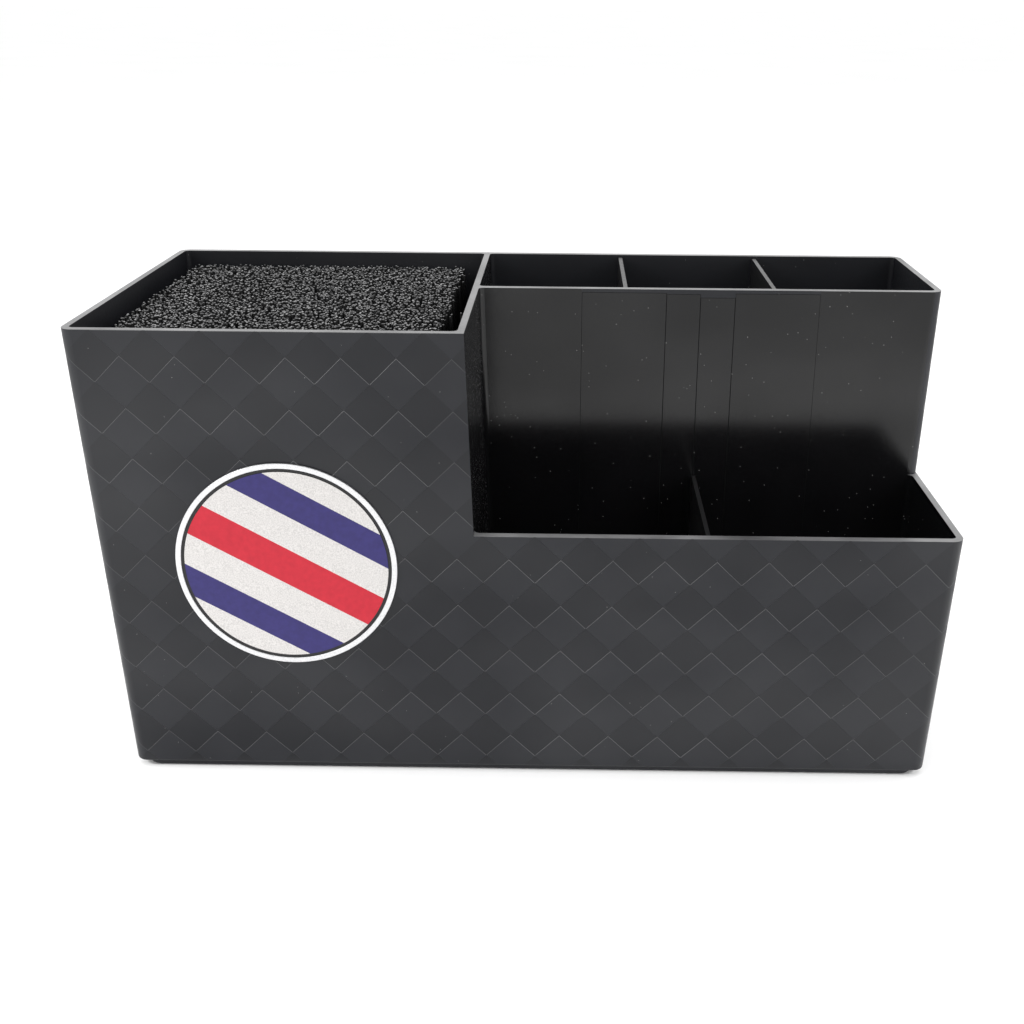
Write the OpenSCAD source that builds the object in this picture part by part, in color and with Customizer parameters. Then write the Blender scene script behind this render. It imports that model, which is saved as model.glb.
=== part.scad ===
// Countertop tool organiser for a barber station. One moulded housing has a tall bay of standing
// filaments on the left, a tall row of three bins behind and a low row of two bins in front.
// Axes: +X to the right seen from the front, +Y to the back, +Z up. The origin lies on the table,
// under the middle of the high rim. All lengths are in millimetres.

/* [Housing] */
// Outer width at the high rim
width = 300; // [290:1:330]
// Outer depth at the high rim
depth = 144; // [140:1:160]
// Height of the high rim above the table
rim_z = 166.8; // [155:0.1:180]
// Height of the low front row's rim above the table
low_rim_z = 95.9; // [85:0.1:105]
// Outer width of the filament bay at the high rim
bay_w = 129.5; // [120:0.5:140]
// Outer depth of the rear row at the high rim
rear_row_d = 72.5; // [68:0.5:78]
// Thickness of the side walls and of the wall beside the filament bay, at the rim
wall = 2.3; // [2:0.1:3]
// Thickness of the front, middle and back walls at the rims
long_wall = 3; // [2:0.1:4]
// Floor thickness
floor_t = 2.6; // [2:0.1:4]
// Radius of the upright outer corners
corner_r = 4.5; // [3.5:0.5:6]
// Radius of the rim's outer edge
rim_r = 0.8; // [0.6:0.1:1.4]

/* [Mould draft] */
// Lean of the two sides, in degrees
side_draft = 1.64; // [1:0.02:2]
// Lean of the front, in degrees
front_draft = 3; // [2:0.1:3.5]
// Lean of the back, in degrees
back_draft = 1.5; // [1:0.1:2]
// Lean of the filament bay's wall towards the bins, in degrees
bay_draft = 1.5; // [0.5:0.1:1.6]
// Lean of the other faces inside the housing, in degrees
inner_draft = 0.3; // [0.1:0.1:0.6]

/* [Foot] */
// Height of the foot ring under the body
ring_h = 2.4; // [2:0.1:3]
// How far the foot ring is set in from the body's bottom edge at the sides
ring_side_inset = 4.2; // [3:0.1:6]
// How far the foot ring is set in from the body's bottom edge at the front and the back
ring_end_inset = 2; // [1.5:0.1:6]
// Width of the foot ring's wall
ring_wall = 3; // [2:0.5:5]
// Diameter of a foot pad
pad_d = 14; // [10:1:18]
// Thickness of a foot pad
pad_t = 1.5; // [1.2:0.1:2]
// How far a foot pad stands proud of the ring
pad_proud = 0.5; // [0.3:0.1:0.8]

/* [Dividers] */
// Thickness of a divider plate
divider_t = 1.5; // [1.4:0.1:2.2]
// Place of the front divider along the width
divider_x = 61.3; // [58:0.1:65]
// Spacing of the two rear dividers
divider_pitch = 55.3; // [50:0.1:60]
// How far a divider's top lies below its rim
divider_drop = 0.8; // [0.5:0.1:3]
// Radius of a divider's upper corners
divider_corner_r = 1.6; // [1:0.1:4]
// Gap around a divider
divider_gap = 0.3; // [0.3:0.05:0.5]
// Width and depth of a guide rib
rib = 1.6; // [1.2:0.1:2]
// How far the guide ribs end below the rim
rib_drop = 32; // [28:1:60]

/* [Filament insert] */
// Gap between the insert's tray and the bay
tray_gap = 0.7; // [0.5:0.1:1]
// Height of the tray
tray_h = 16; // [12:1:24]
// Thickness of the tray's wall and floor
tray_wall = 2; // [1.5:0.1:3]
// How far the filament tips lie below the rim
tip_drop = 4.6; // [4.2:0.1:12]
// Gap between the filament pack and its neighbours
pack_gap = 0.6; // [0.4:0.1:2]

/* [Badge] */
// Diameter of the badge
badge_d = 76; // [60:1:80]
// Thickness of the badge
badge_t = 0.8; // [0.6:0.1:1.2]
// Place of the badge's centre along the width
badge_x = -83; // [-88:1:-78]
// Height of the badge's centre above the table
badge_z = 84; // [75:1:95]

/* [Hidden] */

$fn = 64;
HULL_FN = 32;
// Height of the thin discs that span a hull, and the overlap that joins two shapes
SKIN = 0.01;
OVERLAP = 1;
// Rounding of the corners inside the bins, and of the tray and the filament pack
INNER_R = 2;
// Space between a foot pad and its seat, and the seat's wall
SEAT_GAP = 0.3;
SEAT_WALL = 2;
// Ledge where the front row's inner faces stand in from the faces above them
LEDGE = 0.1;
// Reach of a cut that has to clear the whole housing
REACH = 400;
// Glue film between the badge and the housing's front
GLUE_FILM = 0.1;

foot_h = ring_h + pad_proud;
floor_z = foot_h + floor_t;
tray_top = floor_z + tray_h;
tip_z = rim_z - tip_drop;
bay_x = -width / 2 + bay_w;
row_y = depth / 2 - rear_row_d;

// Places of the outer faces at height z
function left_x(z) = -width / 2 + tan(side_draft) * (rim_z - z);
function right_x(z) = -left_x(z);
function front_y(z) = -depth / 2 + tan(front_draft) * (rim_z - z);
function back_y(z) = depth / 2 - tan(back_draft) * (rim_z - z);

// Places of the two inner walls' faces at height z. Both walls are thicker at the floor
function bay_wall_right_x(z) = bay_x + tan(bay_draft) * (rim_z - z);
function bay_wall_left_x(z) = bay_x - wall - tan(inner_draft) * (rim_z - z);
function row_wall_front_y(z) = row_y - tan(inner_draft) * (rim_z - z);
function row_wall_back_y(z) = row_y + long_wall + tan(inner_draft) * (rim_z - z);

// Boxes at height z: lowest x, lowest y, highest x and highest y of the outer body, and of each
// space inside the housing
function body_outline(z) = [left_x(z), front_y(z), right_x(z), back_y(z)];
function bay_space(z) = [left_x(z) + wall, front_y(z) + long_wall, bay_wall_left_x(z), back_y(z) - long_wall];
function rear_space(z) = [
    bay_wall_right_x(z), row_wall_back_y(z), right_x(z) - wall, back_y(z) - long_wall
];
function front_space(z) = [
    bay_wall_right_x(z) + LEDGE, front_y(z) + long_wall, right_x(z) - wall, row_wall_front_y(z) - LEDGE
];
function inset(b, x, y) = [b[0] + x, b[1] + y, b[2] - x, b[3] - y];
function shrunk(b, by) = inset(b, by, by);

// A thin rounded rectangle over the box b, its top at height z
module slab(b, z, r) {
    for (x = [b[0] + r, b[2] - r], y = [b[1] + r, b[3] - r])
        translate([x, y, z - SKIN])
            cylinder(h = SKIN, r = r, $fn = HULL_FN);
}

// The outer body from the foot to the high rim, its upper edge rounded
module outer_body() {
    hull() {
        slab(body_outline(foot_h), foot_h + SKIN, corner_r);
        for (turn = [0 : 15 : 90]) {
            inward = rim_r * (1 - cos(turn));
            slab(shrunk(body_outline(rim_z), inward), rim_z - rim_r + rim_r * sin(turn), corner_r - inward);
        }
    }
}

// A space that is cut from the housing, from its floor to above the given rim
module pocket(low, high, top_z) {
    hull() {
        slab(low, floor_z + SKIN, INNER_R);
        slab(high, top_z + OVERLAP, INNER_R);
    }
}

// A flat rounded rectangle over the box b, drawn with true arcs
module plate_outline(b, r) {
    translate([b[0] + r, b[1]])
        square([b[2] - b[0] - 2 * r, b[3] - b[1]]);
    translate([b[0], b[1] + r])
        square([b[2] - b[0], b[3] - b[1] - 2 * r]);
    for (x = [b[0] + r, b[2] - r], y = [b[1] + r, b[3] - r])
        translate([x, y])
            circle(r = r);
}

// Turns an outline drawn with y to the right and z up into a plate of thickness t, centred on x
module across_x(x, t) {
    translate([x - t / 2, 0, 0])
        rotate([90, 0, 90])
            linear_extrude(t)
                children();
}

// The space above the low front row, in front of the rear row and to the right of the bay
module step_space() {
    top_z = rim_z + OVERLAP;
    intersection() {
        rotate([90, 0, 0])
            linear_extrude(REACH, center = true)
                polygon([
                    [bay_wall_right_x(low_rim_z), low_rim_z],
                    [bay_wall_right_x(top_z), top_z],
                    [width, top_z],
                    [width, low_rim_z]
                ]);
        across_x(0, REACH)
            polygon([
                [row_wall_front_y(low_rim_z), low_rim_z],
                [row_wall_front_y(top_z), top_z],
                [-depth, top_z],
                [-depth, low_rim_z]
            ]);
    }
}

// Two upright ribs that hold a divider's edge at place x. near and far are the wall's places at
// the floor and at the ribs' top, and inward is 1 or -1, the way the ribs stand out of the wall
module rib_pair(x, near, far, top_z, inward) {
    for (side = [-1, 1])
        across_x(x + side * (divider_t / 2 + divider_gap + rib / 2), rib)
            polygon([
                [near - inward * OVERLAP, floor_z - OVERLAP],
                [near + inward * rib, floor_z - OVERLAP],
                [far + inward * rib, top_z],
                [far - inward * OVERLAP, top_z]
            ]);
}

module rear_ribs(x) {
    top_z = rim_z - rib_drop;
    rib_pair(x, row_wall_back_y(floor_z), row_wall_back_y(top_z), top_z, 1);
    rib_pair(x, back_y(floor_z) - long_wall, back_y(top_z) - long_wall, top_z, -1);
}

module front_ribs(x) {
    top_z = low_rim_z - rib_drop;
    rib_pair(x, front_y(floor_z) + long_wall, front_y(top_z) + long_wall, top_z, 1);
    rib_pair(x, row_wall_front_y(floor_z), row_wall_front_y(top_z), top_z, -1);
}

// The ring under the floor, with a seat for a pad in each corner
function ring_box() = inset(body_outline(foot_h), ring_side_inset, ring_end_inset);
function pad_place(across, along) =
    let (b = shrunk(ring_box(), pad_d / 2 + SEAT_GAP + SEAT_WALL))
    [across < 0 ? b[0] : b[2], along < 0 ? b[1] : b[3]];

module foot_ring() {
    translate([0, 0, pad_proud])
        linear_extrude(ring_h + OVERLAP)
            difference() {
                plate_outline(ring_box(), corner_r);
                plate_outline(shrunk(ring_box(), ring_wall), INNER_R);
            }
    for (across = [-1, 1], along = [-1, 1])
        translate(concat(pad_place(across, along), pad_proud))
            cylinder(h = ring_h + OVERLAP, d = pad_d + 2 * SEAT_GAP + 2 * SEAT_WALL);
}

module pad_seats() {
    for (across = [-1, 1], along = [-1, 1])
        translate(concat(pad_place(across, along), 0))
            cylinder(h = pad_t, d = pad_d + 2 * SEAT_GAP);
}

module housing() {
    color([0.13, 0.13, 0.14]) {
        difference() {
            outer_body();
            step_space();
            pocket(bay_space(floor_z), bay_space(rim_z + OVERLAP), rim_z);
            pocket(rear_space(floor_z), rear_space(rim_z + OVERLAP), rim_z);
            pocket(front_space(floor_z), front_space(low_rim_z + OVERLAP), low_rim_z);
        }
        rear_ribs(divider_x - divider_pitch / 2);
        rear_ribs(divider_x + divider_pitch / 2);
        front_ribs(divider_x);
        difference() {
            foot_ring();
            pad_seats();
        }
    }
}

// A divider plate whose edges follow two leaning walls. low and high hold the plate's two edges
// at the floor and at its top
module divider(x, low, high, top_z) {
    r = divider_corner_r;
    color([0.15, 0.15, 0.16])
        across_x(x, divider_t)
            polygon(concat(
                [[low[0], floor_z], [low[1], floor_z]],
                [for (turn = [0 : 15 : 90]) [high[1] - r + r * cos(turn), top_z - r + r * sin(turn)]],
                [for (turn = [90 : 15 : 180]) [high[0] + r + r * cos(turn), top_z - r + r * sin(turn)]]
            ));
}

module rear_divider(x) {
    top_z = rim_z - divider_drop;
    divider(
        x,
        [row_wall_back_y(floor_z) + divider_gap, back_y(floor_z) - long_wall - divider_gap],
        [row_wall_back_y(top_z) + divider_gap, back_y(top_z) - long_wall - divider_gap],
        top_z
    );
}

module rear_divider_left() {
    rear_divider(divider_x - divider_pitch / 2);
}

module rear_divider_right() {
    rear_divider(divider_x + divider_pitch / 2);
}

module front_divider() {
    top_z = low_rim_z - divider_drop;
    divider(
        divider_x,
        [front_y(floor_z) + long_wall + divider_gap, row_wall_front_y(floor_z) - divider_gap],
        [front_y(top_z) + long_wall + divider_gap, row_wall_front_y(top_z) - divider_gap],
        top_z
    );
}

// The open tray at the bottom of the bay, which holds the filaments' roots
module filament_tray() {
    outer = shrunk(bay_space(floor_z), tray_gap);
    color([0.08, 0.08, 0.085])
        translate([0, 0, floor_z])
            difference() {
                linear_extrude(tray_h)
                    plate_outline(outer, INNER_R);
                translate([0, 0, tray_wall])
                    linear_extrude(tray_h)
                        plate_outline(shrunk(outer, tray_wall), INNER_R / 2);
            }
}

// The space that the standing filaments fill: straight in the tray, then spreading to the bay's walls
module filament_pack() {
    root = shrunk(bay_space(floor_z), tray_gap + tray_wall + pack_gap);
    root_z = floor_z + tray_wall;
    color([0.05, 0.05, 0.055]) {
        translate([0, 0, root_z])
            linear_extrude(tray_top + pack_gap - root_z)
                plate_outline(root, INNER_R);
        hull() {
            slab(root, tray_top + pack_gap, INNER_R);
            slab(shrunk(bay_space(tip_z), pack_gap), tip_z, INNER_R);
        }
    }
}

// A round plate glued to the leaning front face
module badge() {
    color([0.86, 0.87, 0.88])
        translate([badge_x, front_y(badge_z) - GLUE_FILM, badge_z])
            rotate([90 + front_draft, 0, 0])
                cylinder(h = badge_t, d = badge_d, $fn = 128);
}

module foot_pad(across, along) {
    color([0.04, 0.04, 0.04])
        translate(concat(pad_place(across, along), 0))
            cylinder(h = pad_t, d = pad_d);
}

module foot_pad_front_left() {
    foot_pad(-1, -1);
}

module foot_pad_front_right() {
    foot_pad(1, -1);
}

module foot_pad_rear_left() {
    foot_pad(-1, 1);
}

module foot_pad_rear_right() {
    foot_pad(1, 1);
}

housing();
rear_divider_left();
rear_divider_right();
front_divider();
filament_tray();
filament_pack();
badge();
foot_pad_front_left();
foot_pad_front_right();
foot_pad_rear_left();
foot_pad_rear_right();
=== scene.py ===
"""Looks of the barber tool organiser: a moulded housing, lift-out dividers, a filament insert and a badge.

Everything is in metres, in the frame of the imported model: +X to the right seen from the front, +Y to the
back, +Z up, with the origin on the floor.
"""

import math

import bmesh
import bpy
import numpy as np
from mathutils import Matrix, Vector


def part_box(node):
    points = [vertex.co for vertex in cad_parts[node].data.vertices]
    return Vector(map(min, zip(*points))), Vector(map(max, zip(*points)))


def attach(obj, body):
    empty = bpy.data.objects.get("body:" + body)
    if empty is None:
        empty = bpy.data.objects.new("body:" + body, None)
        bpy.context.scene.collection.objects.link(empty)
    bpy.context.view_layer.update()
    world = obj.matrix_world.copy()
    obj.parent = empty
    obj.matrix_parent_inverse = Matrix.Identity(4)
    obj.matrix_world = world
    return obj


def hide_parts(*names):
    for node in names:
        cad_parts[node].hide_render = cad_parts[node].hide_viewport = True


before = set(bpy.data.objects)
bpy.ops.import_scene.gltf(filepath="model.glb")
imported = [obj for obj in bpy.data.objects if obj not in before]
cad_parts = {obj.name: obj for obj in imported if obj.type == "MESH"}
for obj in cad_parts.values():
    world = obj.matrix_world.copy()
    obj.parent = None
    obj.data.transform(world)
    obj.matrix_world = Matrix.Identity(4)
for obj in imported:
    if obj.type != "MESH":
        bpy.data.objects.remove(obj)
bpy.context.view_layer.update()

MM = 0.001

# The housing's sizes that its box does not give
LOW_RIM_Z = 95.9 * MM
BAY_WIDTH = 129.5 * MM
ROW_DEPTH = 72.5 * MM
WALL = 2.3 * MM
LONG_WALL = 3.0 * MM
FLOOR_Z = 5.5 * MM
BODY_Z = 2.9 * MM
CORNER_R = 4.5 * MM
INNER_R = 2.0 * MM
RIM_R = 0.8 * MM
INNER_RIM_R = 0.4 * MM
FOOT_R = 0.5 * MM
SIDE_SLOPE = math.tan(math.radians(1.64))
FRONT_SLOPE = math.tan(math.radians(3.0))
BACK_SLOPE = math.tan(math.radians(1.5))
BAY_SLOPE = math.tan(math.radians(1.5))
INNER_SLOPE = math.tan(math.radians(0.3))
OVERLAP = 1.0 * MM

# The foot ring and its pads
PAD_PROUD = 0.5 * MM
RING_SIDE_INSET = 4.2 * MM
RING_END_INSET = 2.0 * MM
RING_WALL = 3.0 * MM
SEAT_GAP = 0.3 * MM
SEAT_WALL = 2.0 * MM

# The guide ribs for the dividers
RIB = 1.6 * MM
RIB_DROP = 32.0 * MM
DIVIDER_GAP = 0.3 * MM

# The diamonds on the outside: their diagonal, one apex of the zigzag on the front (from the middle and down
# from the rim), and the height and the slope's width of the satin ones, which are raised
DIAMOND = 17.78 * MM
APEX_X = -131.25 * MM
APEX_DROP = 8.55 * MM
RELIEF = 0.09 * MM
RELIEF_EDGE = 0.11 * MM
# How many lines of a family are cut each way from the lattice's start, enough for the longest face
LATTICE_REACH = 28

# The width of the dark line round a panel on the wall between the rows, and the panels: from, to, how far
# below the rim they begin, and their height
PANEL_EDGE = 0.14 * MM
WALL_PANELS = (
    (17.4 * MM, 48.6 * MM, 1.3 * MM, 0.05 * MM),
    (48.6 * MM, 61.1 * MM, 1.7 * MM, 0.02 * MM),
    (61.1 * MM, 73.9 * MM, 2.9 * MM, 0.04 * MM),
    (73.9 * MM, 105.1 * MM, 1.3 * MM, 0.05 * MM),
)

# The dividers' corners and edges
DIVIDER_CORNER_R = 1.6 * MM
DIVIDER_EDGE_R = 0.35 * MM

# The filament insert: the tray, one filament, the gaps between the tips and the bay's walls, and how much
# the filaments differ (jitter is in pitches; a stray leans to the right)
TRAY_WALL = 2.0 * MM
TRAY_EDGE_R = 0.4 * MM
FILAMENT_R = 0.42 * MM
FILAMENT_PITCH = 1.48 * MM
FILAMENT_SIDES = 6
FILAMENT_BLOCKS = 4
FILAMENT_SEED = 7
FILAMENT_LEFT_GAP = 5.0 * MM
FILAMENT_RIGHT_GAP = 7.0 * MM
FILAMENT_BACK_GAP = 3.0 * MM
FILAMENT_JITTER = 0.32
FILAMENT_LEAN = 0.6 * MM
FILAMENT_UNEVEN = 0.9 * MM
STRAY_SHARE = 0.035

# The badge: its raised rim, the dark line inside the rim and the bands' turn in degrees
BADGE_RIM = 1.9 * MM
BADGE_GROOVE = 1.1 * MM
BADGE_TILT = 30
BADGE_STEPS = 128
# The badge's materials, and the bands across it: from, to and the ink
SILVER, BLUE, RED, BADGE_METAL, BADGE_LINE = range(5)
BADGE_BANDS = (
    (-27.0 * MM, -17.0 * MM, BLUE),
    (-6.0 * MM, 6.0 * MM, RED),
    (17.0 * MM, 27.0 * MM, BLUE),
)

# The housing's materials
SATIN, GLOSS, SMOOTH, DUSTY, INNER, RIM, STEP, GROOVE = range(8)

PADS = ("foot_pad_front_left", "foot_pad_front_right", "foot_pad_rear_left", "foot_pad_rear_right")

# The camera: focal length and shift, place, and turns about Z, X and Y in radians
LENS = 46.17
SHIFT = -0.0425
CAMERA_PLACE = (0.01322, -0.47966, 0.26544)
YAW, PITCH, ROLL = 0.0102, -0.3717, -0.0082
# Half the side of the floor
FLOOR_HALF = 40.0

# Tolerances when faces and edges are looked for by their place and direction
NEAR = 1e-5
ON_PLANE = 2e-5
ALIGNED = 0.9999

housing_low, housing_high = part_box("housing")
RIM_Z = housing_high.z
LEFT = housing_low.x
RIGHT = housing_high.x
FRONT = housing_low.y
BACK = housing_high.y
BAY_X = LEFT + BAY_WIDTH
ROW_Y = BACK - ROW_DEPTH


# ---------------------------------------------------------------- places on the housing
# Where each leaning wall is at height z
def left_x(z):
    return LEFT + SIDE_SLOPE * (RIM_Z - z)


def right_x(z):
    return RIGHT - SIDE_SLOPE * (RIM_Z - z)


def front_y(z):
    return FRONT + FRONT_SLOPE * (RIM_Z - z)


def back_y(z):
    return BACK - BACK_SLOPE * (RIM_Z - z)


def bay_right_x(z):
    return BAY_X + BAY_SLOPE * (RIM_Z - z)


def bay_left_x(z):
    return BAY_X - WALL - INNER_SLOPE * (RIM_Z - z)


def row_front_y(z):
    return ROW_Y - INNER_SLOPE * (RIM_Z - z)


def row_back_y(z):
    return ROW_Y + LONG_WALL + INNER_SLOPE * (RIM_Z - z)


def front_inner_y(z):
    return front_y(z) + LONG_WALL


def back_inner_y(z):
    return back_y(z) - LONG_WALL


# Rectangles (x0, y0, x1, y1) at height z: the housing's outside and the spaces in it
def outline(z):
    return left_x(z), front_y(z), right_x(z), back_y(z)


def bay_space(z):
    return left_x(z) + WALL, front_inner_y(z), bay_left_x(z), back_inner_y(z)


def rear_space(z):
    return bay_right_x(z), row_back_y(z), right_x(z) - WALL, back_inner_y(z)


def front_space(z):
    return bay_right_x(z), front_inner_y(z), right_x(z) - WALL, row_front_y(z)


def inset(box, x, y):
    return box[0] + x, box[1] + y, box[2] - x, box[3] - y


def shrunk(box, by):
    return inset(box, by, by)


def within(box, point, slack):
    return box[0] - slack < point.x < box[2] + slack and box[1] - slack < point.y < box[3] + slack


# ---------------------------------------------------------------- mesh helpers
def arc(cx, cy, r, start, end, steps):
    turns = [math.radians(start + (end - start) * i / steps) for i in range(steps + 1)]
    return [(cx + r * math.cos(t), cy + r * math.sin(t)) for t in turns]


def rounded(box, r, steps=10):
    """A rounded rectangle's outline, anticlockwise seen from above."""
    x0, y0, x1, y1 = box
    points = arc(x1 - r, y0 + r, r, -90, 0, steps)
    points += arc(x1 - r, y1 - r, r, 0, 90, steps)
    points += arc(x0 + r, y1 - r, r, 90, 180, steps)
    points += arc(x0 + r, y0 + r, r, 180, 270, steps)
    return points


def new_object(name, bm, materials=()):
    mesh = bpy.data.meshes.new(name)
    bmesh.ops.recalc_face_normals(bm, faces=bm.faces)
    bm.to_mesh(mesh)
    bm.free()
    obj = bpy.data.objects.new(name, mesh)
    bpy.context.scene.collection.objects.link(obj)
    for material in materials:
        mesh.materials.append(material)
    return obj


def loft(loops):
    """A closed bmesh through loops, each a list of (x, y, z) with the same number of points."""
    bm = bmesh.new()
    rings = [[bm.verts.new(p) for p in loop] for loop in loops]
    for low, high in zip(rings, rings[1:]):
        for i in range(len(low)):
            j = (i + 1) % len(low)
            bm.faces.new((low[i], low[j], high[j], high[i]))
    bm.faces.new(rings[0][::-1])
    bm.faces.new(rings[-1])
    return bm


def lifted(points, z):
    return [(x, y, z) for x, y in points]


def box_loft(space, r, heights, steps=10):
    return loft([lifted(rounded(space(z), r, steps), z) for z in heights])


def carve(base, bm, how):
    """Cuts the closed bmesh from the object base, or joins it to it."""
    tool = new_object("tool", bm)
    cut = base.modifiers.new("cut", "BOOLEAN")
    cut.object = tool
    cut.operation = how
    cut.solver = "EXACT"
    bpy.context.view_layer.update()
    graph = bpy.context.evaluated_depsgraph_get()
    made = bpy.data.meshes.new_from_object(base.evaluated_get(graph))
    base.modifiers.clear()
    old = base.data
    base.data = made
    bpy.data.meshes.remove(old)
    bpy.data.objects.remove(tool)


def tidy(bm):
    """Joins what the cuts left apart and makes flat faces whole."""
    bmesh.ops.remove_doubles(bm, verts=bm.verts, dist=2e-6)
    bmesh.ops.dissolve_degenerate(bm, edges=bm.edges, dist=2e-6)
    bmesh.ops.dissolve_limit(
        bm, angle_limit=math.radians(0.05), verts=bm.verts, edges=bm.edges, use_dissolve_boundaries=False
    )


def bevel(bm, edges, width, segments=4):
    bmesh.ops.bevel(
        bm,
        geom=edges,
        offset=width,
        offset_type="OFFSET",
        segments=segments,
        profile=0.5,
        affect="EDGES",
        clamp_overlap=True,
        material=-1,
    )


def sharp_edges(bm, angle=40):
    return [e for e in bm.edges if len(e.link_faces) == 2 and e.calc_face_angle(0) > math.radians(angle)]


def smooth(obj, angle=35, crisp=()):
    """Smooth shading, with normals that follow the large faces and break at sharp edges.

    Faces whose material is in crisp stay flat."""
    mesh = obj.data
    bm = bmesh.new()
    bm.from_mesh(mesh)
    for face in bm.faces:
        face.smooth = True
    for edge in bm.edges:
        bent = len(edge.link_faces) == 2 and edge.calc_face_angle(0) > math.radians(angle)
        edge.smooth = not bent and not any(f.material_index in crisp for f in edge.link_faces)
    bm.to_mesh(mesh)
    bm.free()
    weighted = obj.modifiers.new("normals", "WEIGHTED_NORMAL")
    weighted.keep_sharp = True
    return obj


# ---------------------------------------------------------------- materials
class Nodes:
    """A material's node tree with short ways to add nodes."""

    def __init__(self, name):
        self.material = bpy.data.materials.new(name)
        self.material.use_nodes = True
        self.tree = self.material.node_tree
        self.shader = self.tree.nodes["Principled BSDF"]
        coords = self.tree.nodes.new("ShaderNodeTexCoord")
        self.place = coords.outputs["Object"]

    def add(self, kind, **values):
        node = self.tree.nodes.new(kind)
        for key, value in values.items():
            if hasattr(node, key):
                setattr(node, key, value)
            else:
                node.inputs[key].default_value = value
        return node

    def link(self, a, b):
        self.tree.links.new(a, b)

    def noise(self, scale, detail=3.0, stretch=None):
        node = self.add("ShaderNodeTexNoise")
        node.inputs["Scale"].default_value = scale
        node.inputs["Detail"].default_value = detail
        self.link(self.stretched(stretch), node.inputs["Vector"])
        return node.outputs["Fac"]

    def stretched(self, stretch):
        if stretch is None:
            return self.place
        mapping = self.add("ShaderNodeMapping")
        mapping.inputs["Scale"].default_value = stretch
        self.link(self.place, mapping.inputs["Vector"])
        return mapping.outputs["Vector"]

    def ramp(self, factor, stops):
        node = self.add("ShaderNodeValToRGB")
        elements = node.color_ramp.elements
        while len(elements) < len(stops):
            elements.new(1.0)
        for element, (position, colour) in zip(elements, stops):
            element.position = position
            element.color = (*colour, 1.0)
        self.link(factor, node.inputs["Fac"])
        return node.outputs["Color"]

    def levels(self, factor, low, high, out_low, out_high):
        node = self.add("ShaderNodeMapRange", clamp=True)
        for socket, value in zip(("From Min", "From Max", "To Min", "To Max"), (low, high, out_low, out_high)):
            node.inputs[socket].default_value = value
        self.link(factor, node.inputs["Value"])
        return node.outputs["Result"]

    def maths(self, how, a, b):
        node = self.add("ShaderNodeMath", operation=how)
        for socket, value in zip(node.inputs, (a, b)):
            if isinstance(value, float):
                socket.default_value = value
            else:
                self.link(value, socket)
        return node.outputs["Value"]

    def mix(self, factor, a, b):
        node = self.add("ShaderNodeMix", data_type="RGBA")
        self.link(factor, node.inputs["Factor"])
        for socket, value in ((node.inputs[6], a), (node.inputs[7], b)):
            if isinstance(value, tuple):
                socket.default_value = (*value, 1.0)
            else:
                self.link(value, socket)
        return node.outputs[2]

    def specks(self, scale, size, share):
        """1 inside small round specks: scale is cells per metre, size a share of a cell."""
        cells = self.add("ShaderNodeTexVoronoi")
        cells.inputs["Scale"].default_value = scale
        self.link(self.place, cells.inputs["Vector"])
        near = self.levels(cells.outputs["Distance"], size * 0.6, size, 1.0, 0.0)
        split = self.add("ShaderNodeSeparateColor")
        self.link(cells.outputs["Color"], split.inputs["Color"])
        chosen = self.maths("LESS_THAN", split.outputs["Red"], float(share))
        return self.maths("MULTIPLY", near, chosen)

    def bump(self, height, distance, strength=1.0, before=None):
        node = self.add("ShaderNodeBump")
        node.inputs["Strength"].default_value = strength
        node.inputs["Distance"].default_value = distance
        self.link(height, node.inputs["Height"])
        if before is not None:
            self.link(before, node.inputs["Normal"])
        return node.outputs["Normal"]

    def finish(self, colour, roughness, normal):
        self.link(colour, self.shader.inputs["Base Color"])
        self.link(roughness, self.shader.inputs["Roughness"])
        self.link(normal, self.shader.inputs["Normal"])
        return self.material


def plastic(
    name, dark, light, rough, grain, grain_depth, dust_scale, dust_size, dust_share, specular=0.36
):
    """Black moulded plastic: slight colour variation, moulded grain, soft waviness and dust."""
    n = Nodes(name)
    shine = n.levels(n.noise(11.0, 2.0, (1.0, 1.0, 1.8)), 0.35, 0.65, specular * 0.8, specular * 1.15)
    n.link(shine, n.shader.inputs["Specular IOR Level"])
    cloud = n.noise(38.0, 4.0)
    colour = n.ramp(cloud, [(0.3, dark), (0.7, light)])
    dust = n.specks(dust_scale, dust_size, dust_share)
    haze = n.levels(n.noise(14.0, 2.0), 0.4, 0.8, 0.0, 0.02)
    colour = n.mix(haze, colour, (0.09, 0.09, 0.095))
    colour = n.mix(dust, colour, (0.34, 0.335, 0.33))
    fine = n.noise(900.0, 2.0)
    roughness = n.levels(fine, 0.3, 0.7, rough[0], rough[1])
    smear = n.levels(n.noise(26.0, 3.0), 0.35, 0.75, 0.0, 0.04)
    roughness = n.maths("ADD", roughness, smear)
    roughness = n.maths("ADD", roughness, n.maths("MULTIPLY", dust, 0.4))
    wave = n.bump(n.noise(22.0, 1.0), 0.4 * MM, 0.05)
    normal = n.bump(n.noise(grain, 3.0), grain_depth, 0.5, wave)
    return n.finish(colour, roughness, normal)


def satin_plastic():
    return plastic(
        "shell_satin", (0.0068, 0.0075, 0.0104), (0.0102, 0.011, 0.0142), (0.42, 0.47), 3200.0, 0.012 * MM,
        260.0, 0.032, 0.6,
    )


def gloss_plastic():
    return plastic(
        "shell_gloss", (0.0024, 0.0029, 0.005), (0.0042, 0.0048, 0.0072), (0.29, 0.34), 3200.0, 0.006 * MM,
        260.0, 0.032, 0.6,
    )


def rim_highlight_plastic():
    """The rims: a pale, blotchy base colour that is a painted highlight, standing in for the light the rim
    edges catch.
    """
    return plastic(
        "shell_rim_highlight", (0.06, 0.06, 0.062), (0.19, 0.19, 0.193), (0.28, 0.36), 3200.0, 0.008 * MM,
        260.0, 0.032, 0.3, 0.7,
    )


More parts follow.
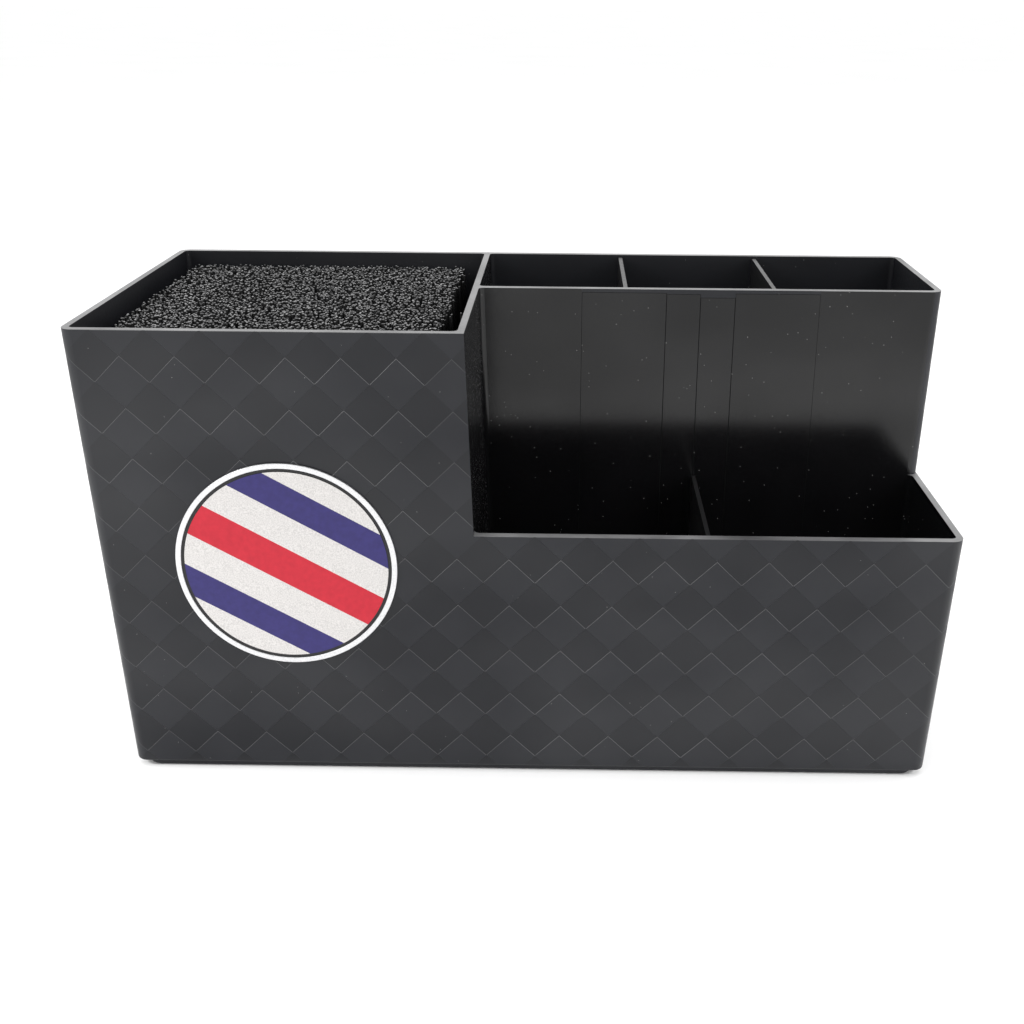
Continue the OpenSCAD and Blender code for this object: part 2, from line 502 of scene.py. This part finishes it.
def step_highlight_plastic():
    """The upper edges of the satin diamonds: a pale base colour that is a painted highlight, the lit line along
    each upper edge.
    """
    return plastic(
        "shell_step_highlight", (0.028, 0.028, 0.03), (0.078, 0.078, 0.081), (0.28, 0.36), 3200.0, 0.008 * MM,
        260.0, 0.032, 0.3, 0.6,
    )


def inner_plastic():
    return plastic(
        "shell_inner", (0.0072, 0.0076, 0.0096), (0.0102, 0.0108, 0.0134), (0.3, 0.38), 1800.0, 0.004 * MM,
        300.0, 0.045, 0.6,
    )


def groove_shade_plastic():
    """The bottom of the thin lines that the mould's inserts leave, near black with little shine: painted shade.
    """
    return plastic(
        "shell_groove_shade", (0.001, 0.001, 0.0012), (0.002, 0.002, 0.0022), (0.6, 0.7), 1500.0, 0.003 * MM,
        150.0, 0.028, 0.3, 0.1,
    )


def smooth_plastic():
    return plastic(
        "shell_smooth", (0.003, 0.003, 0.0034), (0.005, 0.005, 0.0055), (0.13, 0.17), 1500.0, 0.002 * MM,
        410.0, 0.06, 0.6,
    )


def dusty_plastic():
    return plastic(
        "shell_dusty", (0.0045, 0.0045, 0.005), (0.007, 0.007, 0.0075), (0.2, 0.26), 1500.0, 0.003 * MM,
        990.0, 0.125, 0.6,
    )


def divider_plastic():
    return plastic(
        "divider_smooth", (0.006, 0.006, 0.0066), (0.0095, 0.0095, 0.0102), (0.28, 0.34), 1800.0, 0.0015 * MM,
        300.0, 0.045, 0.5,
    )


def tray_plastic():
    return plastic(
        "tray_grain", (0.009, 0.009, 0.0095), (0.013, 0.013, 0.0136), (0.42, 0.5), 2400.0, 0.012 * MM,
        260.0, 0.032, 0.6,
    )


def filament_nylon():
    n = Nodes("filament_nylon")
    tone = n.noise(420.0, 1.0, (1.0, 1.0, 0.02))
    colour = n.ramp(tone, [(0.3, (0.003, 0.003, 0.0032)), (0.7, (0.007, 0.007, 0.0073))])
    roughness = n.levels(n.noise(800.0, 2.0), 0.3, 0.7, 0.45, 0.6)
    normal = n.bump(n.noise(2600.0, 2.0, (1.0, 1.0, 0.15)), 0.02 * MM, 0.4)
    n.shader.inputs["Specular IOR Level"].default_value = 0.15
    return n.finish(colour, roughness, normal)


def filament_tips_highlight():
    """The cut ends: paler than the shafts, a painted highlight for the light their flat tops catch from above,
    and each a little different.
    """
    n = Nodes("filament_tips_highlight")
    tone = n.noise(560.0, 1.0, (1.0, 1.0, 0.05))
    # The pale tones stand in for light on the tips: painted highlight.
    colour = n.ramp(tone, [(0.34, (0.03, 0.03, 0.031)), (0.5, (0.1, 0.1, 0.102)), (0.64, (0.26, 0.26, 0.262))])
    roughness = n.levels(n.noise(1500.0, 2.0), 0.3, 0.7, 0.35, 0.55)
    normal = n.bump(n.noise(3000.0, 3.0), 0.03 * MM, 0.6)
    return n.finish(colour, roughness, normal)


def pad_rubber():
    n = Nodes("pad_rubber")
    colour = n.ramp(n.noise(300.0, 4.0), [(0.3, (0.012, 0.012, 0.012)), (0.7, (0.026, 0.026, 0.025))])
    roughness = n.levels(n.noise(700.0, 3.0), 0.3, 0.7, 0.72, 0.88)
    normal = n.bump(n.noise(2200.0, 4.0), 0.03 * MM, 0.6)
    return n.finish(colour, roughness, normal)


def badge_silver(name, dark, light, metal):
    """Pale film or metal with a fine sparkle under lacquer."""
    n = Nodes(name)
    sparkle = n.noise(2600.0, 2.0)
    colour = n.ramp(sparkle, [(0.32, dark), (0.62, light)])
    roughness = n.levels(n.noise(1900.0, 2.0), 0.3, 0.7, 0.32, 0.5)
    normal = n.bump(n.noise(1500.0, 3.0), 0.02 * MM, 0.5)
    n.shader.inputs["Metallic"].default_value = metal
    n.shader.inputs["Coat Weight"].default_value = 0.25
    n.shader.inputs["Coat Roughness"].default_value = 0.15
    return n.finish(colour, roughness, normal)


def badge_ink(name, deep, full):
    """Printed colour under lacquer."""
    n = Nodes(name)
    colour = n.ramp(n.noise(500.0, 4.0), [(0.3, deep), (0.7, full)])
    roughness = n.levels(n.noise(900.0, 2.0), 0.3, 0.7, 0.28, 0.38)
    normal = n.bump(n.noise(1200.0, 2.0), 0.01 * MM, 0.4)
    n.shader.inputs["Specular IOR Level"].default_value = 0.26
    n.shader.inputs["Coat Weight"].default_value = 0.05
    n.shader.inputs["Coat Roughness"].default_value = 0.12
    return n.finish(colour, roughness, normal)


# ---------------------------------------------------------------- housing
def step_cutter():
    """The strips above the low rim that the front space's cut leaves standing: in front and on the right."""
    margin = 5 * MM
    far = 60 * MM
    touch = 0.02 * MM
    loops = []
    for z in (LOW_RIM_Z, RIM_Z + OVERLAP):
        x0, y0, x1, y1 = front_space(z)
        points = [(x0, FRONT - far), (RIGHT + far, FRONT - far), (RIGHT + far, y1 + CORNER_R)]
        points += arc(right_x(z) - CORNER_R + touch, y1 + CORNER_R, CORNER_R, 0, -90, 10)
        points += [(x1 - margin, y1), (x1 - margin, y0 + margin), (x0, y0 + margin)]
        loops.append(lifted(points, z))
    return loft(loops)


def upright_box(low, high):
    """A box with leaning sides: low and high are (x0, y0, x1, y1, z) at its foot and at its top."""
    return loft([[(x0, y0, z), (x1, y0, z), (x1, y1, z), (x0, y1, z)] for x0, y0, x1, y1, z in (low, high)])


def add_ribs(base, divider, near, far, top_z):
    """Two ribs at each edge of a divider. near and far give the place of the walls at height z."""
    low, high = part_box(divider)
    offset = DIVIDER_GAP + RIB / 2
    foot_z = FLOOR_Z - OVERLAP
    for x in (low.x - offset, high.x + offset):
        x0, x1 = x - RIB / 2, x + RIB / 2
        for wall, inward in ((near, 1), (far, -1)):
            ends = []
            for z in (foot_z, top_z):
                y = wall(max(z, FLOOR_Z))
                a, b = y - inward * OVERLAP, y + inward * RIB
                ends.append((x0, min(a, b), x1, max(a, b), z))
            carve(base, upright_box(*ends), "UNION")


def circle_at(cx, cy, r, steps):
    turns = [math.tau * i / steps for i in range(steps)]
    return [(cx + r * math.cos(t), cy + r * math.sin(t)) for t in turns]


def disc(cx, cy, r, z0, z1, steps=64):
    ring = circle_at(cx, cy, r, steps)
    return loft([lifted(ring, z0), lifted(ring, z1)])


def pad_places():
    for name in PADS:
        low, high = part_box(name)
        yield name, (low + high) / 2, (high.x - low.x) / 2


def add_foot(base):
    ring = inset(outline(BODY_Z), RING_SIDE_INSET, RING_END_INSET)
    top = BODY_Z + OVERLAP
    foot = new_object("foot", loft([lifted(rounded(ring, CORNER_R), z) for z in (PAD_PROUD, top)]))
    hole = shrunk(ring, RING_WALL)
    carve(foot, loft([lifted(rounded(hole, INNER_R), z) for z in (0.0, BODY_Z + 2 * OVERLAP)]), "DIFFERENCE")
    for _, centre, radius in pad_places():
        # A little less than the full wall, so that the seat's side does not run along the ring's
        seat = radius + SEAT_GAP + SEAT_WALL * 0.96
        carve(foot, disc(centre.x, centre.y, seat, PAD_PROUD, top), "UNION")
        carve(foot, disc(centre.x, centre.y, radius + SEAT_GAP, 0.0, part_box(PADS[0])[1].z), "DIFFERENCE")
    bm = bmesh.new()
    bm.from_mesh(foot.data)
    bpy.data.objects.remove(foot)
    carve(base, bm, "UNION")


def is_inner(edge):
    """Whether an edge of a rim borders the space inside, and not the outside."""
    side = min(edge.link_faces, key=lambda f: f.normal.z)
    middle = (edge.verts[0].co + edge.verts[1].co) / 2
    z = middle.z
    ahead = middle + side.normal * 5 * MM
    spaces = (bay_space(z), rear_space(z)) if z > LOW_RIM_Z + MM else (front_space(z),)
    return any(within(space, ahead, 0.0) for space in spaces)


def rim_edges(bm):
    """The edges of both rims: those on the outside and those round the spaces inside."""
    outer, inner = [], []
    for edge in sharp_edges(bm, 60):
        a, b = (v.co for v in edge.verts)
        level = any(abs(a.z - z) < NEAR and abs(b.z - z) < NEAR for z in (RIM_Z, LOW_RIM_Z))
        if level and edge.is_convex and any(f.normal.z > 0.99 for f in edge.link_faces):
            (inner if is_inner(edge) else outer).append(edge)
    return outer, inner


def bay_corner_edges(bm):
    """The upright edge at the front of the wall between the bay and the low row."""
    found = []
    for edge in sharp_edges(bm, 60):
        a, b = sorted((v.co for v in edge.verts), key=lambda c: c.z)
        in_place = abs(a.x - bay_right_x(a.z)) < NEAR and abs(a.y - front_y(a.z)) < ON_PLANE
        if in_place and b.z - a.z > 5 * MM:
            found.append(edge)
    return found


def foot_edges(bm):
    """The outer edges of the body's underside."""
    edges = []
    box = shrunk(outline(BODY_Z), 2 * MM)
    for edge in sharp_edges(bm, 60):
        level = all(abs(v.co.z - BODY_Z) <= NEAR for v in edge.verts)
        if level and not within(box, edge.verts[0].co, 0.0):
            edges.append(edge)
    return edges


def face_frame(side):
    """The origin at the rim, the direction along the rim, the direction down the face and its normal."""
    if side == "front":
        origin, along, down = Vector((0, FRONT, RIM_Z)), Vector((1, 0, 0)), Vector((0, FRONT_SLOPE, -1))
    elif side == "back":
        origin, along, down = Vector((0, BACK, RIM_Z)), Vector((-1, 0, 0)), Vector((0, -BACK_SLOPE, -1))
    elif side == "left":
        origin, along, down = Vector((LEFT, 0, RIM_Z)), Vector((0, -1, 0)), Vector((SIDE_SLOPE, 0, -1))
    else:
        origin, along, down = Vector((RIGHT, 0, RIM_Z)), Vector((0, 1, 0)), Vector((-SIDE_SLOPE, 0, -1))
    down.normalize()
    return origin, along, down, down.cross(along).normalized()


def on_face(face, origin, normal):
    off = (face.calc_center_median() - origin).dot(normal)
    return face.normal.dot(normal) > ALIGNED and abs(off) < ON_PLANE


def part_faces(bm, faces, point, normal):
    """Cuts the given flat faces along a plane and returns all their parts."""
    edges = dict.fromkeys(e for f in faces for e in f.edges)
    verts = dict.fromkeys(v for f in faces for v in f.verts)
    geometry = [*faces, *edges, *verts]
    made = bmesh.ops.bisect_plane(bm, geom=geometry, dist=1e-7, plane_co=point, plane_no=normal)
    return [g for g in made["geom"] if isinstance(g, bmesh.types.BMFace)]


def beside(face, origin, normal):
    """Whether a face belongs to the nearer half of a rounded corner beside an outer face."""
    centre = face.calc_center_median()
    turned = 0.7 < face.normal.dot(normal) < ALIGNED and abs(face.normal.z) < 0.1
    outside = (centre - origin).dot(normal) > -CORNER_R / 3 and centre.z > BODY_Z + FOOT_R
    return turned and outside and face.material_index == SATIN


def cut_cells(bm, faces, start, along, down, shift=0.0):
    """Cuts faces along both families of the lattice's lines, which a shift moves down into the cells."""
    for way in (1, -1):
        for step in range(-LATTICE_REACH, LATTICE_REACH + 1):
            point = start + along * ((step + way * shift) * DIAMOND)
            faces = part_faces(bm, faces, point, along + down * way)
    return faces


def lattice_place(face, start, along, down):
    """Where a face is across each family of lines, counted in diamonds."""
    place = face.calc_center_median() - start
    u, v = place.dot(along) / DIAMOND, place.dot(down) / DIAMOND
    return u + v, u - v


def cut_diamonds(bm, side, phase):
    """Cuts an outer face and the corners beside it into satin and glossy diamonds.

    The satin ones are raised, and the slopes on their upper edges get a pale painted highlight on top of the
    light the real slope catches; where they reach a corner, a flat pale line along their upper edges goes on, a
    painted highlight alone."""
    origin, along, down, normal = face_frame(side)
    start = origin + along * phase + down * APEX_DROP
    faces = [f for f in bm.faces if on_face(f, origin, normal) or beside(f, origin, normal)]
    satin = []
    for face in cut_cells(bm, faces, start, along, down):
        a, b = lattice_place(face, start, along, down)
        odd = (math.floor(a) - math.floor(b)) % 2
        face.material_index = SATIN if odd else GLOSS
        if odd:
            satin.append(face)
    bends = {f for f in satin if f.normal.dot(normal) < ALIGNED}
    flush = [f for f in satin if f in bends or any(g in bends for e in f.edges for g in e.link_faces)]
    flush_set = set(flush)
    raised = [f for f in satin if f not in flush_set]
    line = RELIEF_EDGE * math.sqrt(2) / DIAMOND
    # Flat pale strips along the upper edges of the satin diamonds at the corners: a painted highlight.
    for face in cut_cells(bm, flush, start, along, down, line):
        a, b = lattice_place(face, start, along, down)
        if a % 1 < line or b % 1 > 1 - line:
            face.material_index = STEP
    # The upper slopes of the raised diamonds get the pale step colour: a painted highlight.
    raise_faces(bm, raised, RELIEF_EDGE, RELIEF, STEP, GLOSS)


def raise_faces(bm, faces, edge, height, upper, lower):
    """Raises each face by height. The narrow slopes round it get one material where they face up and another
    where they face down; on the diamonds the upward ones get a pale painted highlight.
    """
    raised = set(faces)
    before = set(bm.faces)
    bmesh.ops.inset_individual(bm, faces=faces, thickness=edge, depth=height, use_even_offset=True)
    for face in set(bm.faces) - before - raised:
        face.normal_update()
        face.material_index = upper if face.normal.z > 0.1 else lower


def panel_faces(bm):
    """The long panels that the mould's inserts leave on the front of the wall between the rows."""
    normal = Vector((0, -1, INNER_SLOPE)).normalized()
    origin = Vector((0, ROW_Y, RIM_Z))
    faces = [f for f in bm.faces if on_face(f, origin, normal)]
    panels = []
    for x in sorted({x for panel in WALL_PANELS for x in panel[:2]}):
        faces = part_faces(bm, faces, Vector((x, 0, 0)), Vector((1, 0, 0)))
    for x0, x1, drop, depth in WALL_PANELS:
        mine = [f for f in faces if x0 < f.calc_center_median().x < x1]
        cut = Vector((0, 0, RIM_Z - drop))
        mine = part_faces(bm, mine, cut, Vector((0, 0, 1)))
        panels.append(([f for f in mine if f.calc_center_median().z < cut.z], depth))
        for face in mine:
            if face.calc_center_median().z > cut.z:
                face.material_index = SATIN
    return panels


def finish_of(face):
    """The material of a housing face outside the diamonds."""
    slack = 0.3 * MM
    centre, normal = face.calc_center_median(), face.normal
    z = centre.z
    on_rim = min(abs(z - RIM_Z), abs(z - LOW_RIM_Z)) < RIM_R and abs(normal.z) > 0.12
    # Upward faces of the rims get the pale rim colour: a painted highlight.
    if on_rim and normal.z > 0:
        return RIM
    if normal.x > 0.9 and abs(centre.x - bay_right_x(z)) < 0.2 * MM and z > FLOOR_Z:
        return DUSTY
    if z < FLOOR_Z - 0.1 * MM:
        return SATIN
    if within(front_space(z), centre, slack):
        return SMOOTH
    if within(bay_space(z), centre, slack) or within(rear_space(z), centre, slack):
        return INNER
    return SATIN


def build_housing():
    base = new_object("housing_shell", box_loft(outline, CORNER_R, (BODY_Z, RIM_Z), 12))
    top = RIM_Z + OVERLAP
    for space in (bay_space, rear_space, front_space):
        carve(base, box_loft(space, INNER_R, (FLOOR_Z, LOW_RIM_Z, top)), "DIFFERENCE")
    carve(base, step_cutter(), "DIFFERENCE")
    bm = bmesh.new()
    bm.from_mesh(base.data)
    tidy(bm)
    bevel(bm, rim_edges(bm)[0] + bay_corner_edges(bm), RIM_R)
    bevel(bm, rim_edges(bm)[1], INNER_RIM_R, 3)
    bevel(bm, foot_edges(bm), FOOT_R, 3)
    bm.to_mesh(base.data)
    bm.free()
    for divider in ("rear_divider_left", "rear_divider_right"):
        add_ribs(base, divider, row_back_y, back_inner_y, RIM_Z - RIB_DROP)
    add_ribs(base, "front_divider", front_inner_y, row_front_y, LOW_RIM_Z - RIB_DROP)
    add_foot(base)
    bm = bmesh.new()
    bm.from_mesh(base.data)
    bmesh.ops.remove_doubles(bm, verts=bm.verts, dist=1e-6)
    for face in bm.faces:
        face.material_index = finish_of(face)
    for side, phase in (("front", APEX_X), ("back", 0.0), ("left", 0.0), ("right", 0.0)):
        cut_diamonds(bm, side, phase)
    for faces, depth in panel_faces(bm):
        # The slopes round each panel get the near-black groove colour: painted shade.
        raise_faces(bm, faces, PANEL_EDGE, depth, GROOVE, GROOVE)
    bm.to_mesh(base.data)
    bm.free()
    for finish in (
        satin_plastic, gloss_plastic, smooth_plastic, dusty_plastic,
        inner_plastic, rim_highlight_plastic, step_highlight_plastic, groove_shade_plastic,
    ):
        base.data.materials.append(finish())
    smooth(base, crisp=(STEP, GROOVE))
    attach(base, "housing")
    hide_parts("housing")


# ---------------------------------------------------------------- dividers
def build_divider(node, body, near, far, material):
    """A plate whose edges follow two leaning walls, with rounded upper corners and soft edges."""
    low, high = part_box(node)
    foot_z, top_z = low.z, high.z
    a0, b0 = near(foot_z) + DIVIDER_GAP, far(foot_z) - DIVIDER_GAP
    a1, b1 = near(top_z) + DIVIDER_GAP, far(top_z) - DIVIDER_GAP
    r = DIVIDER_CORNER_R
    points = [(a0, foot_z), (b0, foot_z)]
    points += arc(b1 - r, top_z - r, r, 0, 90, 8)
    points += arc(a1 + r, top_z - r, r, 90, 180, 8)
    bm = loft([[(x, y, z) for y, z in points] for x in (low.x, high.x)])
    bevel(bm, sharp_edges(bm, 60), DIVIDER_EDGE_R, 3)
    plate = smooth(new_object(node + "_plate", bm, [material]))
    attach(plate, body)
    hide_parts(node)


# ---------------------------------------------------------------- filament insert
def build_tray(material):
    low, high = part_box("filament_tray")
    outer = (low.x, low.y, high.x, high.y)
    inner = shrunk(outer, TRAY_WALL)
    tray = new_object("filament_tray_open", loft([lifted(rounded(outer, INNER_R), z) for z in (low.z, high.z)]))
    hollow = [lifted(rounded(inner, INNER_R / 2), z) for z in (low.z + TRAY_WALL, high.z + OVERLAP)]
    carve(tray, loft(hollow), "DIFFERENCE")
    bm = bmesh.new()
    bm.from_mesh(tray.data)
    bevel(bm, sharp_edges(bm, 60), TRAY_EDGE_R, 3)
    bm.to_mesh(tray.data)
    bm.free()
    tray.data.materials.append(material)
    smooth(tray)
    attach(tray, "insert")
    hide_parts("filament_tray")


def filament_places(rng):
    """Foot and tip of every filament: a jittered lattice that spreads from the tray to the bay's walls."""
    low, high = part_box("filament_pack")
    tray_low, tray_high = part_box("filament_tray")
    reach = TRAY_WALL + 2 * FILAMENT_R
    foot_low = np.array([tray_low.x + reach, tray_low.y + reach])
    foot_high = np.array([tray_high.x - reach, tray_high.y - reach])
    tip_low = np.array([low.x + FILAMENT_R, low.y + FILAMENT_R])
    tip_high = np.array([high.x - FILAMENT_R, high.y - FILAMENT_R])
    rest_low = tip_low + np.array([FILAMENT_LEFT_GAP, 0.0])
    rest_high = tip_high - np.array([FILAMENT_RIGHT_GAP, FILAMENT_BACK_GAP])
    across, along = ((tip_high - tip_low) / FILAMENT_PITCH).astype(int)
    row, column = np.meshgrid(np.arange(along), np.arange(across), indexing="ij")
    share = np.stack([(column + 0.5 * (row % 2) + 0.25) / across, (row + 0.5) / along], -1).reshape(-1, 2)
    jitter = rng.normal(0.0, FILAMENT_JITTER, share.shape) / np.array([across, along])
    share = np.clip(share + jitter, 0.0, 1.0)
    foot = foot_low + share * (foot_high - foot_low)
    lean = rng.normal(0.0, FILAMENT_LEAN, share.shape)
    tip = np.clip(rest_low + share * (rest_high - rest_low) + lean, tip_low, tip_high)
    stray = rng.random(len(tip)) < STRAY_SHARE
    tip[stray, 0] = np.minimum(tip[stray, 0] + rng.random(stray.sum()) * FILAMENT_RIGHT_GAP, tip_high[0])
    top = high.z - np.abs(rng.normal(0.0, FILAMENT_UNEVEN, len(tip)))
    bottom = np.full(len(tip), low.z)
    return np.column_stack([foot, bottom]), np.column_stack([tip, top])


def filament_rings(foot, tip, bend, cut):
    """Rings of points up each filament, as (filament, ring, point): three on the shaft and two at the tip.

    cut is how far the cut end slants each way."""
    turn = math.tau * np.arange(FILAMENT_SIDES) / FILAMENT_SIDES
    circle = np.column_stack([np.cos(turn), np.sin(turn), np.zeros(FILAMENT_SIDES)])
    rings = []
    for height, share in ((0.0, 0.0), (0.5, 0.6), (0.93, 0.15)):
        centre = foot * (1 - height) + tip * height
        centre[:, :2] += bend * share
        rings.append(centre[:, None, :] + circle[None] * FILAMENT_R)
    shoulder = tip - np.array([0, 0, 0.18 * MM])
    rings.append(shoulder[:, None, :] + circle[None] * FILAMENT_R)
    crown = tip[:, None, :] + circle[None] * (FILAMENT_R * 0.72)
    crown[..., 2] += (circle[None, :, :2] * cut[:, None, :]).sum(-1) * 0.6 * FILAMENT_R
    rings.append(crown)
    return np.stack(rings, 1)


def filament_mesh(rings, materials):
    """One mesh of many filaments: the shafts get the first material, and the tips the second."""
    count, rows, sides = rings.shape[:3]
    start = np.arange(count)[:, None] * rows * sides
    faces = []
    for low in range(0, (rows - 1) * sides, sides):
        for side in range(sides):
            here, after = low + side, low + (side + 1) % sides
            faces.append(start + np.array([here, after, after + sides, here + sides])[None])
    quads = np.stack(faces, 1).reshape(-1, 4).tolist()
    feet = (start + np.arange(sides)[None, ::-1]).tolist()
    crowns = (start + (rows - 1) * sides + np.arange(sides)[None]).tolist()
    mesh = bpy.data.meshes.new("filaments")
    mesh.from_pydata(rings.reshape(-1, 3).tolist(), [], quads + feet + crowns)
    mesh.polygons.foreach_set("use_smooth", np.repeat([True, False], [len(quads), 2 * count]))
    for material in materials:
        mesh.materials.append(material)
    shaft_quads, tip_quads = (rows - 2) * sides, sides
    index = [0] * shaft_quads + [1] * tip_quads
    index = np.array(index * count + [0] * count + [1] * count, dtype=np.int32)
    mesh.polygons.foreach_set("material_index", index)
    mesh.update()
    return mesh


def build_filaments(materials):
    """Round filaments that stand in the tray, in blocks that hold an equal share of them each."""
    rng = np.random.default_rng(FILAMENT_SEED)
    foot, tip = filament_places(rng)
    bend = rng.normal(0.0, 0.5 * MM, (len(foot), 2))
    cut = rng.uniform(-0.25, 0.25, (len(foot), 2))
    order = np.argsort(foot[:, 0], kind="stable")
    for number, block in enumerate(np.array_split(order, FILAMENT_BLOCKS)):
        mesh = filament_mesh(filament_rings(foot[block], tip[block], bend[block], cut[block]), materials)
        standing = bpy.data.objects.new(f"filaments_{number + 1}", mesh)
        bpy.context.scene.collection.objects.link(standing)
        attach(standing, "insert")
        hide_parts("filament_pack")


# ---------------------------------------------------------------- badge
def badge_frame():
    """The badge's centre on its back face, its radius and thickness, and its turn."""
    low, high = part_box("badge")
    radius = (high.x - low.x) / 2
    centre = (low + high) / 2
    lean = math.atan(FRONT_SLOPE)
    thickness = ((high.y - low.y) - 2 * radius * math.sin(lean)) / math.cos(lean)
    turn = Matrix.Rotation(math.pi / 2 + lean, 4, "X")
    back = centre - turn.to_3x3() @ Vector((0, 0, thickness / 2))
    return Matrix.Translation(back) @ turn, radius, thickness


def ring_profile(radius, thickness):
    """Radius and height along the badge: up the outside, over the rim and down to the field."""
    r, t = radius, thickness
    soft = 0.22 * MM
    points = [(r, 0.0)] + arc(r - soft, t - soft, soft, 0, 90, 3)
    points += [(r - BADGE_RIM + soft, t)]
    points += [(r - BADGE_RIM + soft * 0.3, t - soft * 0.4), (r - BADGE_RIM, t - soft)]
    points += [(r - BADGE_RIM, t * 0.45), (r - BADGE_RIM - BADGE_GROOVE, t * 0.45)]
    points += [(r - BADGE_RIM - BADGE_GROOVE - soft * 0.3, t * 0.7)]
    return points


def build_badge():
    """A plain round badge: a pale field with slanting blue and red bands inside a raised rim."""
    place, radius, thickness = badge_frame()
    profile = ring_profile(radius, thickness)
    bm = loft([lifted(circle_at(0.0, 0.0, r, BADGE_STEPS), z) for r, z in profile])
    bm.faces.ensure_lookup_table()
    groove_start = (len(profile) - 3) * BADGE_STEPS
    for number, face in enumerate(bm.faces[:-2]):
        face.material_index = BADGE_METAL if number < groove_start else BADGE_LINE
    field = [bm.faces[-1]]
    across = Vector((math.sin(math.radians(BADGE_TILT)), math.cos(math.radians(BADGE_TILT)), 0))
    for low, high, _ in BADGE_BANDS:
        for edge in (low, high):
            field = part_faces(bm, field, across * edge, across)
    for face in field:
        middle = face.calc_center_median().dot(across)
        for low, high, ink in BADGE_BANDS:
            if low < middle < high:
                face.material_index = ink
    bm.transform(place)
    badge = new_object("badge_disc", bm)
    for material in (
        badge_silver("badge_silver", (0.42, 0.405, 0.395), (0.58, 0.56, 0.545), 0.0),
        badge_ink("badge_blue", (0.021, 0.016, 0.1), (0.027, 0.021, 0.125)),
        badge_ink("badge_red", (0.4, 0.009, 0.023), (0.47, 0.013, 0.029)),
        badge_silver("badge_rim", (0.55, 0.55, 0.56), (0.66, 0.66, 0.67), 1.0),
        badge_ink("badge_line", (0.01, 0.01, 0.011), (0.016, 0.016, 0.017)),
    ):
        badge.data.materials.append(material)
    smooth(badge)
    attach(badge, "housing")
    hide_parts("badge")


# ---------------------------------------------------------------- foot pads
def build_pads(material):
    """Round rubber pads with soft edges and a shallow dish below."""
    steps = 48
    for name, centre, radius in pad_places():
        low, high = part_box(name)
        t = high.z - low.z
        soft = 0.35 * MM
        profile = [(radius, t), (radius, soft), (radius - soft * 0.3, soft * 0.3), (radius - soft, 0.0)]
        profile += [(radius * 0.62, 0.0), (radius * 0.58, 0.12 * MM), (radius * 0.54, 0.2 * MM)]
        loops = [lifted(circle_at(centre.x, centre.y, r, steps), z) for r, z in profile]
        pad = smooth(new_object(name + "_rubber", loft(loops), [material]))
        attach(pad, "housing")
        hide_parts(name)


# ---------------------------------------------------------------- studio
def add_camera():
    """The view of the photograph: in front, to the right of the middle, looking down."""
    data = bpy.data.cameras.new("camera")
    data.sensor_width = 36.0
    data.lens = LENS
    data.shift_x = SHIFT
    data.clip_start, data.clip_end = 0.01, 200.0
    camera = bpy.data.objects.new("camera", data)
    turn = Matrix.Rotation(YAW, 4, "Z") @ Matrix.Rotation(PITCH, 4, "X") @ Matrix.Rotation(ROLL, 4, "Y")
    turn = turn @ Matrix.Rotation(math.pi / 2, 4, "X")
    camera.matrix_world = Matrix.Translation(CAMERA_PLACE) @ turn
    bpy.context.scene.collection.objects.link(camera)
    bpy.context.scene.camera = camera


def add_floor():
    bm = bmesh.new()
    bmesh.ops.create_grid(bm, x_segments=16, y_segments=16, size=FLOOR_HALF)
    n = Nodes("floor_white")
    colour = n.ramp(n.noise(3.0, 3.0), [(0.3, (0.93, 0.93, 0.93)), (0.7, (0.95, 0.95, 0.95))])
    roughness = n.levels(n.noise(40.0, 3.0), 0.3, 0.7, 0.75, 0.85)
    normal = n.bump(n.noise(400.0, 3.0), 0.05 * MM, 0.2)
    floor = new_object("floor", bm, [n.finish(colour, roughness, normal)])


def add_light(name, place, target, size, power):
    data = bpy.data.lights.new(name, "AREA")
    data.shape = "RECTANGLE"
    data.size, data.size_y = size
    aim_light(data, place, target, power)


def add_spot(name, place, target, cone, power):
    """A soft-edged pool of light on the floor beside the object."""
    data = bpy.data.lights.new(name, "SPOT")
    data.spot_size = math.radians(cone)
    data.spot_blend = 1.0
    data.shadow_soft_size = 0.1
    aim_light(data, place, target, power)


def aim_light(data, place, target, power):
    data.energy = power
    light = bpy.data.objects.new(data.name, data)
    light.location = place
    light.rotation_mode = "QUATERNION"
    light.rotation_quaternion = (Vector(target) - Vector(place)).to_track_quat("-Z", "Y")
    bpy.context.scene.collection.objects.link(light)


def add_studio():
    scene = bpy.context.scene
    scene.view_settings.view_transform = "Standard"
    world = bpy.data.worlds.new("studio")
    world.use_nodes = True
    background = world.node_tree.nodes["Background"]
    background.inputs["Color"].default_value = (1.0, 1.0, 1.0, 1.0)
    background.inputs["Strength"].default_value = 1.06
    scene.world = world
    add_light("overhead", (0.0, 0.05, 1.6), (0.0, 0.0, 0.1), (0.7, 0.5), 8.0)
    add_light("front_left", (-1.4, -0.8, 0.95), (0.0, 0.0, 0.1), (0.5, 0.5), 6.0)
    add_light("front_right", (1.4, -0.8, 0.95), (0.0, 0.0, 0.1), (0.5, 0.5), 5.0)
    add_spot("pool_left", (-1.3, -1.0, 1.5), (-0.34, -0.26, 0.0), 22, 110.0)
    add_spot("pool_right", (1.4, -1.0, 1.5), (0.38, -0.26, 0.0), 22, 80.0)
    add_floor()


# ---------------------------------------------------------------- the whole
add_camera()
add_studio()
build_housing()
divider_material = divider_plastic()
for divider in ("rear_divider_left", "rear_divider_right"):
    build_divider(divider, divider.replace("divider", "plate"), row_back_y, back_inner_y, divider_material)
build_divider("front_divider", "front_plate", front_inner_y, row_front_y, divider_material)
build_tray(tray_plastic())
build_filaments((filament_nylon(), filament_tips_highlight()))
build_badge()
build_pads(pad_rubber())
